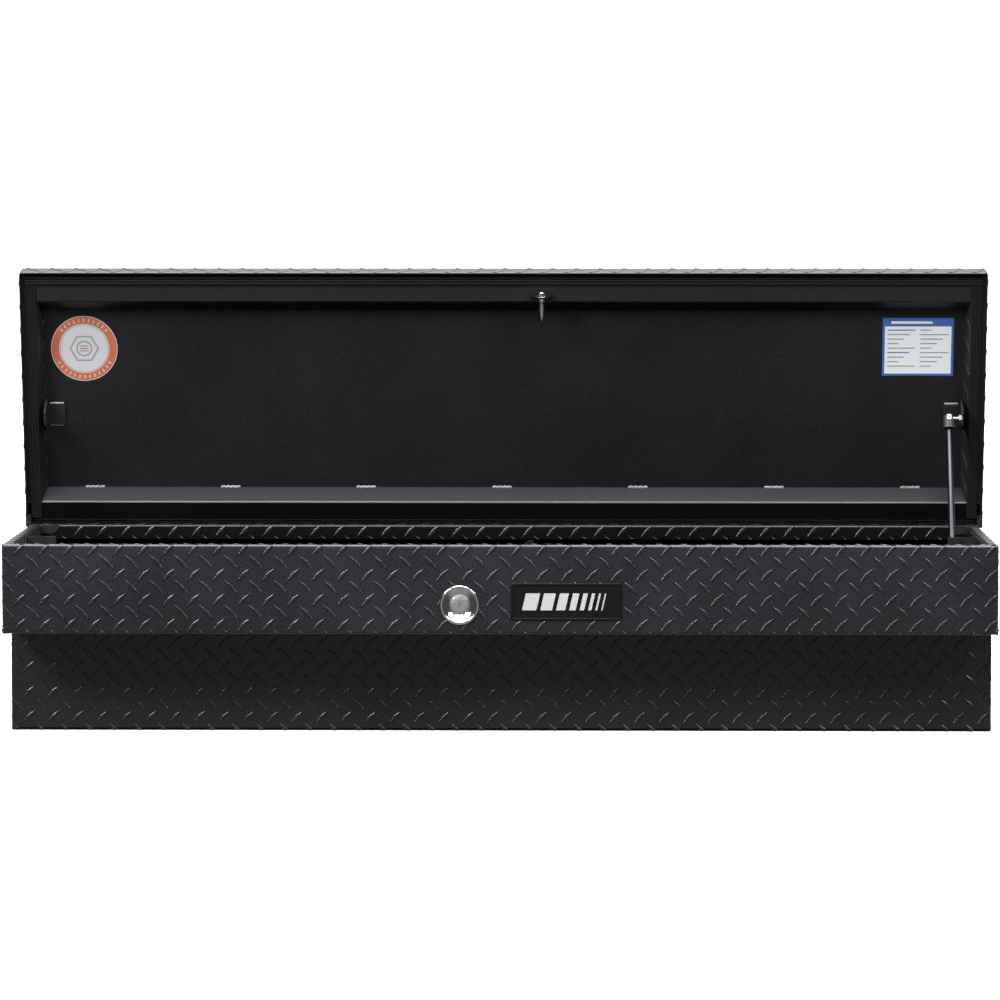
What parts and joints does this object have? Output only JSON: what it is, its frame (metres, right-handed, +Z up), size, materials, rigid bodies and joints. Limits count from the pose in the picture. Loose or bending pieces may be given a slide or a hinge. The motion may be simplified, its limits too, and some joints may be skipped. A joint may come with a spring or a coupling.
{
  "type": "truck tool box",
  "caption": "Long low side-mount tool box in black tread plate with a stepped front, a hinged lid held open by a gas strut, a push-button lock and a claw latch.",
  "frame": {"origin": "underside of the floor, midway along it and midway between the front and back walls of the upper section", "axes": "+X along the box to the right as seen from the front, +Y towards the hinge side, +Z up"},
  "size_m": [1.544, 0.4435, 0.7151],
  "materials": {
    "tread_black": "black powder coat over raised tread, satin with fine texture",
    "channel_black": "black powder coat on smooth folded sheet, satin",
    "channel_rear": "black powder coat on smooth folded sheet, satin, lit slope",
    "bracket_black": "black powder coat on folded steel brackets",
    "seal_rubber": "ribbed black weather seal, matt",
    "zinc_steel": "zinc plated steel",
    "stud_chrome": "bright chrome",
    "rod_chrome": "ground and plated strut rod",
    "tube_black": "black painted steel tube",
    "fitting_plastic": "glass filled black nylon",
    "lock_chrome": "polished chrome",
    "badge_black": "gloss black moulded plate",
    "sticker_print": null,
    "label_print": "printed vinyl label with a plain blue border and grey bars"
  },
  "bodies": {
    "box": {"front_apron": "tread_black", "step_panel": "tread_black", "lower_front_panel": "tread_black", "floor_panel": "tread_black", "back_panel": "tread_black", "end_panel_left": "tread_black", "end_panel_right": "tread_black", "rim_front": "tread_black", "rim_back": "tread_black", "rim_left": "tread_black", "rim_right": "tread_black", "corner_gusset_left": "bracket_black", "corner_gusset_right": "bracket_black", "end_brace_left": "bracket_black", "end_brace_right": "bracket_black", "hinge_body_leaf": "bracket_black", "strut_body_bracket": "bracket_black", "crank_bracket": "bracket_black", "latch_bracket": "bracket_black", "hinge_pin": "zinc_steel", "lock_nut": "zinc_steel", "latch_housing": "zinc_steel", "latch_pins": "zinc_steel", "body_ball_stud": "stud_chrome", "lock_bezel": "lock_chrome", "badge_frame": "badge_black", "badge_plate": "badge_black"},
    "lid": {"lid_skin": "tread_black", "lid_channel_front": "channel_black", "lid_channel_rear": "channel_rear", "lid_channel_left": "channel_black", "lid_channel_right": "channel_black", "seal_front": "seal_rubber", "seal_left": "seal_rubber", "seal_right": "seal_rubber", "round_sticker": "sticker_print", "care_label": "label_print", "lid_strut_bracket_left": "bracket_black", "lid_strut_bracket_right": "bracket_black", "lid_ball_stud": "stud_chrome", "striker_bracket": "bracket_black", "striker_bolt": "stud_chrome", "striker_nuts": "stud_chrome", "hinge_lid_leaf": "bracket_black"},
    "rod": {"strut_rod": "rod_chrome", "strut_socket": "fitting_plastic", "strut_clip": "stud_chrome"},
    "tube": {"strut_cylinder": "tube_black", "strut_gland": "tube_black", "strut_lower_eye": "fitting_plastic"},
    "button": {"lock_button": "lock_chrome"},
    "plug": {"key_plug": "lock_chrome"},
    "crank": {"bell_crank": "zinc_steel"},
    "link": {"link_rod": "zinc_steel"},
    "trigger": {"latch_trigger": "zinc_steel"},
    "claw": {"latch_claw": "zinc_steel"}
  },
  "joints": [
    {"name": "lid_hinge", "type": "hinge", "parent": "box", "child": "lid", "pos_m": [0, 0.2075, 0.301], "axis": [1, 0, 0], "range_deg": [0, 79], "stiffness_Nm_per_rad": 7, "springref_deg": -68.75},
    {"name": "strut_pivot", "type": "hinge", "parent": "lid", "child": "rod", "pos_m": [0.713, 0.16303, 0.47369], "axis": [1, 0, 0], "range_deg": [-70.11, 0]},
    {"name": "strut_slide", "type": "slide", "parent": "rod", "child": "tube", "axis": [0, 0.4206, 0.9072], "range_m": [0, 0.21951]},
    {"name": "button_press", "type": "slide", "parent": "box", "child": "button", "axis": [0, 1, 0], "range_m": [0, 0.006], "stiffness_N_per_m": 900, "springref_m": -0.002},
    {"name": "key_turn", "type": "hinge", "parent": "button", "child": "plug", "pos_m": [-0.061, -0.203, 0.208], "axis": [0, 1, 0], "range_deg": [0, 90]},
    {"name": "crank_turn", "type": "hinge", "parent": "box", "child": "crank", "pos_m": [-0.035, -0.165, 0.208], "axis": [0, 0, 1], "range_deg": [-13.3, 0]},
    {"name": "link_slide", "type": "slide", "parent": "box", "child": "link", "axis": [1, 0, 0], "range_m": [0, 0.00465]},
    {"name": "trigger_turn", "type": "hinge", "parent": "box", "child": "trigger", "pos_m": [0.048, -0.142, 0.241], "axis": [0, 1, 0], "range_deg": [-9.54, 0]},
    {"name": "claw_turn", "type": "hinge", "parent": "box", "child": "claw", "pos_m": [0.049, -0.142, 0.2853], "axis": [0, 1, 0], "range_deg": [0, 50], "stiffness_Nm_per_rad": 0.05, "springref_deg": -11.46}
  ],
  "couplings": [
    {"joint": "strut_pivot", "follows": "lid_hinge", "ratio": -0.88368},
    {"joint": "strut_slide", "follows": "lid_hinge", "m_per_rad": 0.15884},
    {"joint": "crank_turn", "follows": "button_press", "rad_per_m": -38.462},
    {"joint": "link_slide", "follows": "button_press", "ratio": 0.76923},
    {"joint": "trigger_turn", "follows": "button_press", "rad_per_m": -27.473}
  ]
}
